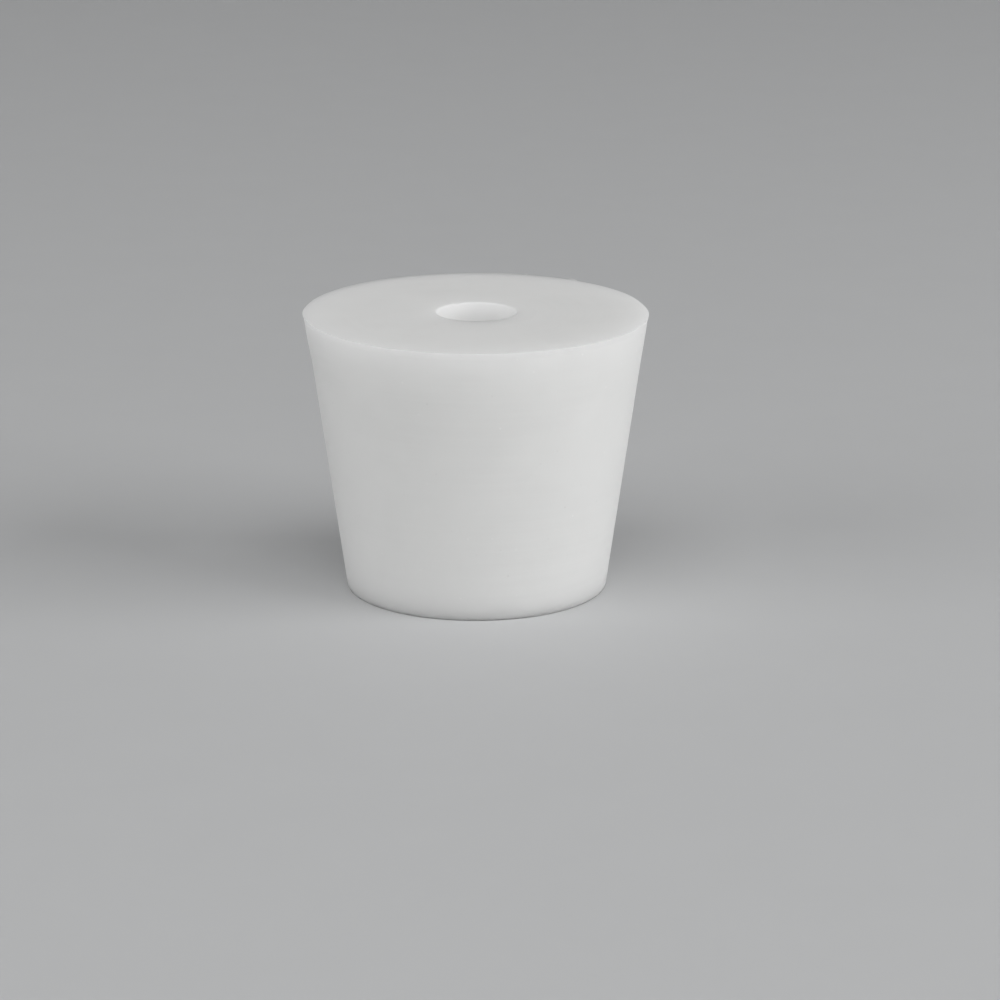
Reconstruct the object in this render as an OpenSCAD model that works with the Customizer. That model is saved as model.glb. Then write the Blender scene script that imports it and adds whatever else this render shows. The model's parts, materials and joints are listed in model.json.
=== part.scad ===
// One-hole tapered stopper, moulded in one piece from translucent silicone rubber.
// It stands on its narrow end: Z = 0 is the narrow end face, and Z is the axis of the bore.

/* [Plug] */
// Diameter of the tapered wall where it would meet the wide end face
wide_d = 34.8; // [33:0.1:60]
// Diameter of the tapered wall where it would meet the narrow end face
narrow_d = 26.6; // [18:0.1:32]
// Height between the two end faces
plug_h = 28.7; // [15:0.1:60]
// Radius of the round between the narrow end face and the wall
edge_r = 0.3; // [0.1:0.05:1]

/* [Bore] */
// Diameter of the hole along the axis, for a tube of the same diameter
bore_d = 8; // [3:0.1:12]
// Radius of the round at each mouth of the bore
mouth_r = 0.2; // [0.1:0.05:0.8]

/* [Parting lip] */
// How far the lip left at the mould's parting line stands out past the wall
lip_proud = 0.1; // [0.02:0.01:0.4]
// Distance below the wide end face at which the lip has tapered back to the wall
lip_h = 0.6; // [0.3:0.05:1.5]

/* [Hidden] */
$fn = 128;

// Lean of the wall from the axis
taper = atan((wide_d - narrow_d) / 2 / plug_h);

// Centre of the round that touches both the narrow end face and the wall
edge_at = [narrow_d / 2 - edge_r / tan(45 + taper / 2), edge_r];

// Outer edge of the lip, and the place on the wall where its underside ends
lip_tip = [wide_d / 2 + lip_proud, plug_h];
lip_foot = [wide_d / 2 - lip_h * tan(taper), plug_h - lip_h];

// Length of the wall from the narrow end's round up to a level inside the lip
wall_len = (plug_h - lip_h / 2 - edge_at.y) / cos(taper) + edge_r * tan(taper);

// Distance from the axis to the centres of the rounds at the bore's mouths
mouth_x = bore_d / 2 + mouth_r;

// Rubber between the bore and a line just inside the wall
module core_section() {
    polygon([
        [mouth_x, 0],
        [edge_at.x, 0],
        edge_at,
        [wide_d / 2 - edge_r / cos(taper), plug_h],
        [mouth_x, plug_h],
        [bore_d / 2, plug_h - mouth_r],
        [bore_d / 2, mouth_r],
    ]);
}

// Rounded mouths of the bore
module mouth_sections() {
    for (z = [mouth_r, plug_h - mouth_r])
        translate([mouth_x, z])
            circle(mouth_r);
}

// Round of the narrow end, and the wall that leaves it at a tangent
module wall_section() {
    translate(edge_at) {
        circle(edge_r);
        rotate(-taper)
            translate([-edge_r, 0])
                square([2 * edge_r, wall_len]);
    }
}

// Thin wedge around the wide end. Its underside runs on inside the wall to the inner point.
module lip_section() {
    inner = 2 * lip_foot - lip_tip;
    back_x = inner.x - lip_h - edge_r;
    polygon([
        lip_tip,
        [back_x, plug_h],
        [back_x, inner.y],
        inner,
    ]);
}

module stopper() {
    color("whitesmoke")
        rotate_extrude() {
            core_section();
            mouth_sections();
            wall_section();
            lip_section();
        }
}

stopper();
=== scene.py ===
import json
import math
import random

import bpy
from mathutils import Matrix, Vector


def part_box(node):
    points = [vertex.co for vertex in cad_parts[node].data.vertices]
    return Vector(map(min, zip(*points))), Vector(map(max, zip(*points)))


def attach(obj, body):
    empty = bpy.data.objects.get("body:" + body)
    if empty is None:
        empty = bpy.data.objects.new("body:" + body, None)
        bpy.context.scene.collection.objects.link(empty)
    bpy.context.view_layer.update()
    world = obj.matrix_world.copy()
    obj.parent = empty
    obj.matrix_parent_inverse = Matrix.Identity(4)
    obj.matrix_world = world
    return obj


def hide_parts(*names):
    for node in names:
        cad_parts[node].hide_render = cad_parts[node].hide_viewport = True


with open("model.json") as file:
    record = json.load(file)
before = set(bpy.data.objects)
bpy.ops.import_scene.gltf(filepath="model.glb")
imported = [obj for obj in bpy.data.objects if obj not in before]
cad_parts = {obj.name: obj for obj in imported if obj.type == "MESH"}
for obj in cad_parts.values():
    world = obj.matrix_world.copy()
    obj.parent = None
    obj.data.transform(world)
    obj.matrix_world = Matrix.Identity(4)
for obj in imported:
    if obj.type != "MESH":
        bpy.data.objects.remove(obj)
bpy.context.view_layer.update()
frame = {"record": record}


# ---- Stopper -------------------------------------------------------------------------------
# One piece of milky silicone rubber, pressed in a turned steel mould around a polished pin.
# The wall tapers so that it jams in a neck, and the pin leaves a straight hole for a tube.
# Where the mould closed on the wide end, the torn flash leaves a thin, sharp, uneven lip.

MM = 0.001
low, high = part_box("stopper")
tube_bore = next(m for m in frame["record"]["mounts"] if m["name"] == "tube_bore")

height = high.z - low.z
lip_r = high.x                    # outer edge of the lip
lip_proud = 0.1 * MM
wide_r = lip_r - lip_proud        # the wall, carried up to the wide face
narrow_r = 13.3 * MM              # the wall, carried down to the narrow face
bore_r = tube_bore["dims"]["r_mm"] * MM
mouth_round = 0.2 * MM
edge_round = 0.3 * MM
lip_drop = 0.6 * MM               # from the lip's edge down to where it joins the wall
lip_width = 0.5 * MM              # the rim of the wide face, where the points lie closer
lip_round = 0.03 * MM

columns = 640                     # one every 0.17 mm around the lip


def straight(start, end, steps, pull=1.0):
    """Points of the section from start up to, but not at, end. A pull over 1 crowds them at both."""
    points = []
    for i in range(steps):
        t = i / steps
        t = 0.5 * (2 * t) ** pull if t < 0.5 else 1 - 0.5 * (2 - 2 * t) ** pull
        points.append(start.lerp(end, t))
    return points


def arc(centre, radius, start, end, steps):
    """Points on a round of the section from the start angle up to, but not at, the end angle."""
    turns = [start + (end - start) * i / steps for i in range(steps)]
    return [centre + radius * Vector((math.cos(a), math.sin(a))) for a in turns]


def section():
    """The closed outline of the rubber to one side of the axis, as (distance out, height)."""
    quarter = math.pi / 2
    lean = math.atan((wide_r - narrow_r) / height)
    outward = Vector((math.cos(lean), -math.sin(lean)))

    mouth_x = bore_r + mouth_round
    top_mouth = Vector((mouth_x, height - mouth_round))
    low_mouth = Vector((mouth_x, mouth_round))
    edge = Vector((narrow_r - edge_round * math.tan((quarter - lean) / 2), edge_round))

    # The lip's underside leaves its sharp edge at a tangent and runs straight to the wall.
    lip = Vector((lip_r - lip_round, height - lip_round))
    foot = Vector((wide_r - lip_drop * math.tan(lean), height - lip_drop))
    under = foot - lip
    lip_end = math.atan2(under.y, under.x) + math.acos(lip_round / under.length)
    lip_start = lip + lip_round * Vector((math.cos(lip_end), math.sin(lip_end)))

    # Each straight has its number of steps and its pull, and each arc its number of steps.
    return (
        straight(Vector((mouth_x, height)), Vector((lip_r - lip_width, height)), 24, 1.7)
        + straight(Vector((lip_r - lip_width, height)), Vector((lip.x, height)), 6)
        + arc(lip, lip_round, quarter, lip_end, 5)
        + straight(lip_start, foot, 7)
        + straight(foot, edge + edge_round * outward, 42, 1.4)
        + arc(edge, edge_round, -lean, -quarter, 8)
        + straight(Vector((edge.x, 0)), Vector((mouth_x, 0)), 14, 1.8)
        + arc(low_mouth, mouth_round, -quarter, -2 * quarter, 6)
        + straight(Vector((bore_r, mouth_round)), Vector((bore_r, top_mouth.y)), 18, 1.4)
        + arc(top_mouth, mouth_round, 2 * quarter, quarter, 6)
    )


def unevenness(seed, slowest, quickest):
    """A smooth function of the turn about the axis, from about 0 to 1, that closes on itself."""
    draw = random.Random(seed)
    # It is a sum of waves by their number around the axis. The slower ones are the larger.
    waves = []
    for n in range(slowest, quickest + 1):
        waves.append((n, draw.uniform(0.4, 1) / n ** 0.7, draw.uniform(0, math.tau)))
    # The waves seldom all peak together, so this much room keeps the result near 0 to 1
    reach = 1.25 * sum(size for _, size, _ in waves)
    return lambda turn: 0.5 + sum(size * math.sin(n * turn + at) for n, size, at in waves) / reach


def bump(distance, reach):
    """1 at no distance, falling smoothly to 0 at the reach."""
    t = min(abs(distance) / reach, 1)
    return (1 - t * t) ** 2


def turned_away(turn, from_turn):
    """Angle between two turns about the axis, the short way round."""
    return abs((turn - from_turn + math.pi) % math.tau - math.pi)


# Faults that change smoothly around the axis, each with how deep it goes and how far it reaches
lip_tear = unevenness(11, 3, 60)
lip_sag = unevenness(23, 2, 40)
wall_wave = unevenness(5, 2, 7)
mouth_wave = unevenness(31, 2, 14)
tear_depth = 0.03 * MM
tear_reach = 0.5 * MM
sag_depth = 0.03 * MM
sag_reach = 1.5 * MM
wave_depth = 0.03 * MM
wave_reach = 6 * MM
mouth_depth = 0.03 * MM
mouth_waver = 0.02 * MM            # how far the mouth's edge comes and goes from the axis
mouth_reach = 0.9 * MM

# The wall flares a little below the lip, most at one side, and the wide face is lower at +X
flare_even = 0.035 * MM
flare_side = 0.10 * MM
flare_turn = math.radians(180)
flare_spread = 1.2                # in radians, either way from the side that flares most
flare_full = 1.5 * MM             # it is at its full size down to here
flare_fade = 4.0 * MM             # and is gone this much further down
face_slope = 0.12 * MM

# Rags of flash: turn, distance below the lip's edge, half width, half height, out and up. A rag
# with an out below 0 is a stretch where the lip is torn back.
lip_edge = 0.2 * MM               # a rag that starts above here is on the lip's sharp edge
rag_root = 2 * MM                 # no rag reaches further in than this
rags = [
    (math.radians(55), 0, 0.80 * MM, 0.35 * MM, 0, 0.13 * MM),
    (math.radians(73), 0, 0.30 * MM, 0.30 * MM, 0, 0.07 * MM),
    (math.radians(163), 0, 0.45 * MM, 0.35 * MM, 0, 0.03 * MM),
    (math.radians(301), 0, 0.60 * MM, 0.35 * MM, 0, 0.03 * MM),
    (math.radians(352), 1.3 * MM, 0.40 * MM, 0.70 * MM, 0.05 * MM, 0),
    (math.radians(181), 0.1 * MM, 4.00 * MM, 0.35 * MM, 0.14 * MM, 0),
    (math.radians(14), 0, 4.60 * MM, 0.60 * MM, -0.12 * MM, 0),
    (math.radians(80), 0, 4.00 * MM, 0.60 * MM, 0, 0.04 * MM),
    (math.radians(217), 0.3 * MM, 0.50 * MM, 0.35 * MM, 0.03 * MM, 0),
]
nick = (math.radians(118), 0.55 * MM, 0.08 * MM)   # turn, half width and depth, at the mouth


def moulded(x, z, turn):
    """Where a point of the section ends up at one turn about the axis, with the mould's faults."""
    down = height - z
    at_lip = bump(math.hypot(x - lip_r, down), tear_reach)
    at_rim = bump(math.hypot(x - lip_r, down), sag_reach)
    at_mouth = bump(math.hypot(x - bore_r, down), mouth_reach)
    on_wall = x > narrow_r - edge_round and down > 0

    out = x - wave_depth * wall_wave(turn) * bump(x - lip_r, wave_reach)
    out -= tear_depth * lip_tear(turn) * at_lip
    out += mouth_waver * (mouth_wave(turn) - 0.5) * at_mouth
    if on_wall:
        flare = flare_even + flare_side * bump(turned_away(turn, flare_turn), flare_spread)
        out += flare * bump(max(down - flare_full, 0), flare_fade) * (1 - bump(down, lip_drop))

    up = z - face_slope * (0.5 + 0.5 * math.cos(turn)) * (x / lip_r) * (z / height)
    up -= sag_depth * lip_sag(turn) * at_rim
    # One radian on, so that the mouth's edge doesn't dip where it widens
    up -= mouth_depth * mouth_wave(turn + 1) * at_mouth
    for at, below, half_width, half_height, rag_out, rag_up in rags:
        here = bump(turned_away(turn, at) * lip_r, half_width)
        if here and x > lip_r - rag_root:
            inward = x - lip_r if below < lip_edge else 0
            here *= bump(math.hypot(inward, down - below), half_height)
            out += rag_out * here
            up += rag_up * here
    at, half_width, deep = nick
    up -= deep * bump(turned_away(turn, at) * bore_r, half_width) * at_mouth
    return out, up


def lathe(name, outline):
    """A closed mesh from an outline spun about the axis."""
    rows = len(outline)
    points = []
    for c in range(columns):
        turn = math.tau * c / columns
        for x, z in outline:
            out, up = moulded(x, z, turn)
            points.append((out * math.cos(turn), out * math.sin(turn), up))
    quads = []
    for c in range(columns):
        here, there = c * rows, (c + 1) % columns * rows
        for r in range(rows):
            q = (r + 1) % rows
            quads.append((here + r, here + q, there + q, there + r))
    mesh = bpy.data.meshes.new(name)
    mesh.from_pydata(points, [], quads)
    mesh.shade_smooth()
    return mesh


stopper = bpy.data.objects.new("stopper_rubber", lathe("stopper_rubber", section()))
bpy.context.scene.collection.objects.link(stopper)
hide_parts("stopper")
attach(stopper, "root")


# ---- Silicone ------------------------------------------------------------------------------
# The rubber is filled with fine silica, which makes it milky: light goes a few millimetres in
# and comes out around the edges and inside the bore. The mould left it satin, with the faint
# rings of its turning, and it holds a little dust. The inside of the bore is painted brighter,
# as painted light.

def group(name, inputs, outputs):
    """An empty node group with its sockets, as (tree, input node, output node)."""
    tree = bpy.data.node_groups.new(name, "ShaderNodeTree")
    for label, kind, value in inputs:
        socket = tree.interface.new_socket(label, in_out="INPUT", socket_type=kind)
        if value is not None:
            socket.default_value = value
    for label, kind in outputs:
        tree.interface.new_socket(label, in_out="OUTPUT", socket_type=kind)
    return tree, tree.nodes.new("NodeGroupInput"), tree.nodes.new("NodeGroupOutput")


def math_node(tree, operation, *values):
    """A math node whose inputs are sockets or numbers, in order. Returns its output."""
    node = tree.nodes.new("ShaderNodeMath")
    node.operation = operation
    for socket, value in zip(node.inputs, values):
        if isinstance(value, (int, float)):
            socket.default_value = value
        else:
            tree.links.new(value, socket)
    return node.outputs[0]


def noise(tree, vector, scale, detail=2.0):
    """A noise texture's value, from about 0.2 to 0.8. The scale is in features per metre."""
    node = tree.nodes.new("ShaderNodeTexNoise")
    node.inputs["Detail"].default_value = detail
    tree.links.new(vector, node.inputs["Vector"])
    if isinstance(scale, (int, float)):
        node.inputs["Scale"].default_value = scale
    else:
        tree.links.new(scale, node.inputs["Scale"])
    return node.outputs["Fac"]


def from_axis(tree, position):
    """Distance of a position from the axis, in metres."""
    level = tree.nodes.new("ShaderNodeVectorMath")
    level.operation = "MULTIPLY"
    level.inputs[1].default_value = (1, 1, 0)
    tree.links.new(position, level.inputs[0])
    length = tree.nodes.new("ShaderNodeVectorMath")
    length.operation = "LENGTH"
    tree.links.new(level.outputs["Vector"], length.inputs[0])
    return length.outputs["Value"]


def fade(tree, value, none_at, full_at, least=0.0):
    """A mask that rises smoothly from the least, where a value is none_at, to 1 at full_at."""
    node = tree.nodes.new("ShaderNodeMapRange")
    node.interpolation_type = "SMOOTHSTEP"
    node.inputs["From Min"].default_value = none_at
    node.inputs["From Max"].default_value = full_at
    node.inputs["To Min"].default_value = least
    tree.links.new(value, node.inputs["Value"])
    return node.outputs["Result"]


def make_clouding():
    """Slow, soft patches: a factor near 1 that wanders by the contrast."""
    tree, given, out = group(
        "clouding",
        [("Position", "NodeSocketVector", None), ("Patch Size", "NodeSocketFloat", 4 * MM),
         ("Contrast", "NodeSocketFloat", 0.02)],
        [("Factor", "NodeSocketFloat")])
    scale = math_node(tree, "DIVIDE", 1.0, given.outputs["Patch Size"])
    patches = noise(tree, given.outputs["Position"], scale, 3.0)
    centred = math_node(tree, "SUBTRACT", patches, 0.5)
    swing = math_node(tree, "MULTIPLY", centred, given.outputs["Contrast"])
    # The noise keeps within about 0.25 of its middle, so 4 times its swing is the contrast
    factor = math_node(tree, "MULTIPLY_ADD", swing, 4.0, 1.0)
    tree.links.new(factor, out.inputs["Factor"])
    return tree


def make_grain():
    """Fine even grain: its height in metres."""
    tree, given, out = group(
        "grain",
        [("Position", "NodeSocketVector", None), ("Grain Size", "NodeSocketFloat", 0.2 * MM),
         ("Depth", "NodeSocketFloat", 0.002 * MM)],
        [("Height", "NodeSocketFloat")])
    scale = math_node(tree, "DIVIDE", 1.0, given.outputs["Grain Size"])
    grit = noise(tree, given.outputs["Position"], scale, 2.0)
    tree.links.new(math_node(tree, "MULTIPLY", grit, given.outputs["Depth"]), out.inputs["Height"])
    return tree


def make_turning_marks():
    """Rings about the axis, on the wall, the faces and in the bore, from 0 to 1 where they show."""
    tree, given, out = group(
        "turning_marks",
        [("Position", "NodeSocketVector", None), ("Pitch", "NodeSocketFloat", 0.3 * MM)],
        [("Lines", "NodeSocketFloat")])
    parts = tree.nodes.new("ShaderNodeSeparateXYZ")
    tree.links.new(given.outputs["Position"], parts.inputs[0])
    x, y, z = parts.outputs
    # Distance along the section: out along a face, or up along the wall or the bore
    along = math_node(tree, "ADD", from_axis(tree, given.outputs["Position"]), z)
    # A ring changes slowly along its length and quickly from one ring to the next
    per_metre = 45.0
    rings = tree.nodes.new("ShaderNodeCombineXYZ")
    tree.links.new(math_node(tree, "MULTIPLY", x, per_metre), rings.inputs[0])
    tree.links.new(math_node(tree, "MULTIPLY", y, per_metre), rings.inputs[1])
    tree.links.new(math_node(tree, "DIVIDE", along, given.outputs["Pitch"]), rings.inputs[2])
    lines = noise(tree, rings.outputs[0], 1.0, 3.0)
    # They show in some places and are worn away in others
    worn = noise(tree, given.outputs["Position"], 2 * per_metre)
    kept = fade(tree, worn, 0.42, 0.62, least=0.2)
    tree.links.new(math_node(tree, "MULTIPLY", lines, kept), out.inputs["Lines"])
    return tree


def make_dust():
    """Sparse round specks of dust: up to 1 on a pale speck, down to -1 on a dark one, 0 between."""
    tree, given, out = group(
        "dust",
        [("Position", "NodeSocketVector", None), ("Spacing", "NodeSocketFloat", 1.5 * MM),
         ("Share", "NodeSocketFloat", 0.2), ("Speck Size", "NodeSocketFloat", 0.1 * MM)],
        [("Specks", "NodeSocketFloat")])
    cells = tree.nodes.new("ShaderNodeTexVoronoi")
    tree.links.new(given.outputs["Position"], cells.inputs["Vector"])
    tree.links.new(math_node(tree, "DIVIDE", 1.0, given.outputs["Spacing"]), cells.inputs["Scale"])
    # The texture measures distance in cells, and colours each cell at random
    distance = math_node(tree, "MULTIPLY", cells.outputs["Distance"], given.outputs["Spacing"])
    near = math_node(tree, "DIVIDE", distance, given.outputs["Speck Size"])
    speck = math_node(tree, "SUBTRACT", 1.0, near)
    speck = math_node(tree, "MAXIMUM", speck, 0.0)
    draw = tree.nodes.new("ShaderNodeSeparateColor")
    tree.links.new(cells.outputs["Color"], draw.inputs[0])
    has_one = math_node(tree, "LESS_THAN", draw.outputs["Red"], given.outputs["Share"])
    paleness = math_node(tree, "MULTIPLY_ADD", draw.outputs["Green"], 2.0, -1.0)
    shown = math_node(tree, "MULTIPLY", speck, has_one)
    tree.links.new(math_node(tree, "MULTIPLY", shown, paleness), out.inputs["Specks"])
    return tree


def place(material, tree, position, **values):
    """A group in a material, with its own values. Returns its first output."""
    node = material.node_tree.nodes.new("ShaderNodeGroup")
    node.node_tree = tree
    material.node_tree.links.new(position, node.inputs["Position"])
    for label, value in values.items():
        node.inputs[label.replace("_", " ").title()].default_value = value
    return node.outputs[0]


def shade(material, factor, colour):
    """A colour made lighter or darker by a factor that changes over the surface."""
    mix = material.node_tree.nodes.new("ShaderNodeMix")
    mix.data_type = "RGBA"
    mix.blend_type = "MULTIPLY"
    mix.inputs["Factor"].default_value = 1.0
    mix.inputs["A"].default_value = colour
    material.node_tree.links.new(factor, mix.inputs["B"])
    return mix.outputs["Result"]


clouding = make_clouding()
grain = make_grain()
turning_marks = make_turning_marks()
dust = make_dust()

milky = (0.80, 0.80, 0.79, 1)
dust_tone = 0.12                  # how much paler or darker a speck of dust is
mark_tone = -0.035                # the rings are a little darker, as they hold dirt
bore_painted_light = 0.18                  # painted light: the inside of the bore is painted brighter
satin_rough = 0.48
mark_rough = 0.06
mark_depth = 0.012 * MM
bore_skin = 0.02 * MM             # what lies nearer than this to the bore's radius is all bore

silicone = bpy.data.materials.new("milky_silicone")
silicone.use_nodes = True
tree = silicone.node_tree
rubber = tree.nodes["Principled BSDF"]
rubber.inputs["IOR"].default_value = 1.41
rubber.subsurface_method = "RANDOM_WALK"
rubber.inputs["Subsurface Weight"].default_value = 0.9
rubber.inputs["Subsurface Radius"].default_value = (1.0, 1.0, 1.0)
rubber.inputs["Subsurface Scale"].default_value = 0.006

position = tree.nodes.new("ShaderNodeTexCoord").outputs["Object"]
clouds = place(silicone, clouding, position, patch_size=5 * MM, contrast=0.012)
specks = place(silicone, dust, position, spacing=0.8 * MM, share=0.12, speck_size=0.16 * MM)
marks = place(silicone, turning_marks, position, pitch=0.45 * MM)
tone = math_node(tree, "MULTIPLY_ADD", specks, dust_tone, clouds)
tone = math_node(tree, "MULTIPLY_ADD", marks, mark_tone, tone)
# Painted light: the base colour is made brighter inside the bore, fading in over the mouth's round.
bore_light_mask = fade(tree, from_axis(tree, position), bore_r + mouth_round, bore_r + bore_skin)
tone = math_node(tree, "MULTIPLY_ADD", bore_light_mask, bore_painted_light, tone)
tree.links.new(shade(silicone, tone, milky), rubber.inputs["Base Color"])

haze = place(silicone, clouding, position, patch_size=2.2 * MM, contrast=0.05)
rough = math_node(tree, "MULTIPLY", haze, satin_rough)
rough = math_node(tree, "MULTIPLY_ADD", marks, mark_rough, rough)
tree.links.new(rough, rubber.inputs["Roughness"])

satin = place(silicone, grain, position, grain_size=0.16 * MM, depth=0.003 * MM)
peel = place(silicone, grain, position, grain_size=1.3 * MM, depth=0.010 * MM)
relief = math_node(tree, "ADD", satin, peel)
relief = math_node(tree, "MULTIPLY_ADD", marks, mark_depth, relief)
bumps = tree.nodes.new("ShaderNodeBump")
bumps.inputs["Distance"].default_value = 1.0
tree.links.new(relief, bumps.inputs["Height"])
tree.links.new(bumps.outputs["Normal"], rubber.inputs["Normal"])
stopper.data.materials.append(silicone)


# ---- Floor ---------------------------------------------------------------------------------
# A sheet of plain, pale grey studio paper, curved up into a wall all the way round.

floor_flat = 0.9
floor_curve = 0.35
floor_wall = 0.5
flat_rings = 6
curve_rings = 12
around = 96


def cove(name):
    """A round sheet, flat in the middle, that curves up into a wall."""
    profile = [(floor_flat * i / flat_rings, 0) for i in range(1, flat_rings + 1)]
    for i in range(1, curve_rings + 1):
        a = math.pi / 2 * i / curve_rings
        profile.append((floor_flat + floor_curve * math.sin(a), floor_curve * (1 - math.cos(a))))
    profile.append((floor_flat + floor_curve, floor_curve + floor_wall))
    rows = len(profile)
    points = [(0, 0, 0)]
    for c in range(around):
        turn = math.tau * c / around
        points += [(x * math.cos(turn), x * math.sin(turn), z) for x, z in profile]
    faces = []
    for c in range(around):
        here, there = 1 + c * rows, 1 + (c + 1) % around * rows
        faces.append((0, here, there))
        for r in range(rows - 1):
            faces.append((here + r, here + r + 1, there + r + 1, there + r))
    mesh = bpy.data.meshes.new(name)
    mesh.from_pydata(points, [], faces)
    mesh.shade_smooth()
    return mesh


floor = bpy.data.objects.new("floor", cove("floor"))
bpy.context.scene.collection.objects.link(floor)

pale_grey = (0.56, 0.565, 0.57, 1)

paper = bpy.data.materials.new("floor_paper")
paper.use_nodes = True
tree = paper.node_tree
sheet = tree.nodes["Principled BSDF"]
sheet.inputs["Roughness"].default_value = 0.7
sheet.inputs["Specular IOR Level"].default_value = 0.2
position = tree.nodes.new("ShaderNodeTexCoord").outputs["Object"]
mottle = place(paper, clouding, position, patch_size=9 * MM, contrast=0.006)
tree.links.new(shade(paper, mottle, pale_grey), sheet.inputs["Base Color"])
floor.data.materials.append(paper)


# ---- Lights --------------------------------------------------------------------------------
# Three big square soft boxes: a key to the right, a fill to the left and one high in front, and
# an even glow all round.

middle = Vector((0, 0, height / 2))
box_side = 0.8
box_away = 1.1


def softbox(name, across, up, watts):
    """A soft box aimed at the stopper: degrees to the right of the camera and up, and watts."""
    across, up = math.radians(across), math.radians(up)
    toward = Vector((math.sin(across) * math.cos(up), -math.cos(across) * math.cos(up), math.sin(up)))
    lamp = bpy.data.lights.new(name, "AREA")
    lamp.shape = "SQUARE"
    lamp.size = box_side
    lamp.energy = watts
    box = bpy.data.objects.new(name, lamp)
    box.location = middle + box_away * toward
    box.rotation_euler = (-toward).to_track_quat("-Z", "Y").to_euler()
    box.visible_camera = False
    bpy.context.scene.collection.objects.link(box)


softbox("key_light", 68, 22, 7.6)
softbox("fill_light", -60, 22, 3.7)
softbox("high_light", 0, 60, 4.1)

world = bpy.data.worlds.new("studio")
world.use_nodes = True
world.node_tree.nodes["Background"].inputs["Color"].default_value = (1, 1, 1, 1)
world.node_tree.nodes["Background"].inputs["Strength"].default_value = 0.15
bpy.context.scene.world = world


# ---- Camera --------------------------------------------------------------------------------
# A long lens looking down at about 16 degrees, with the stopper above the middle of the frame.

look_down = 16.2

camera = bpy.data.objects.new("camera", bpy.data.cameras.new("camera"))
camera.data.lens = 150
camera.data.sensor_width = 36
camera.location = (2.40 * MM, -410.7 * MM, 128.1 * MM)
camera.rotation_euler = (math.radians(90 - look_down), 0, 0)
bpy.context.scene.collection.objects.link(camera)
bpy.context.scene.camera = camera
bpy.context.scene.view_settings.view_transform = "Standard"
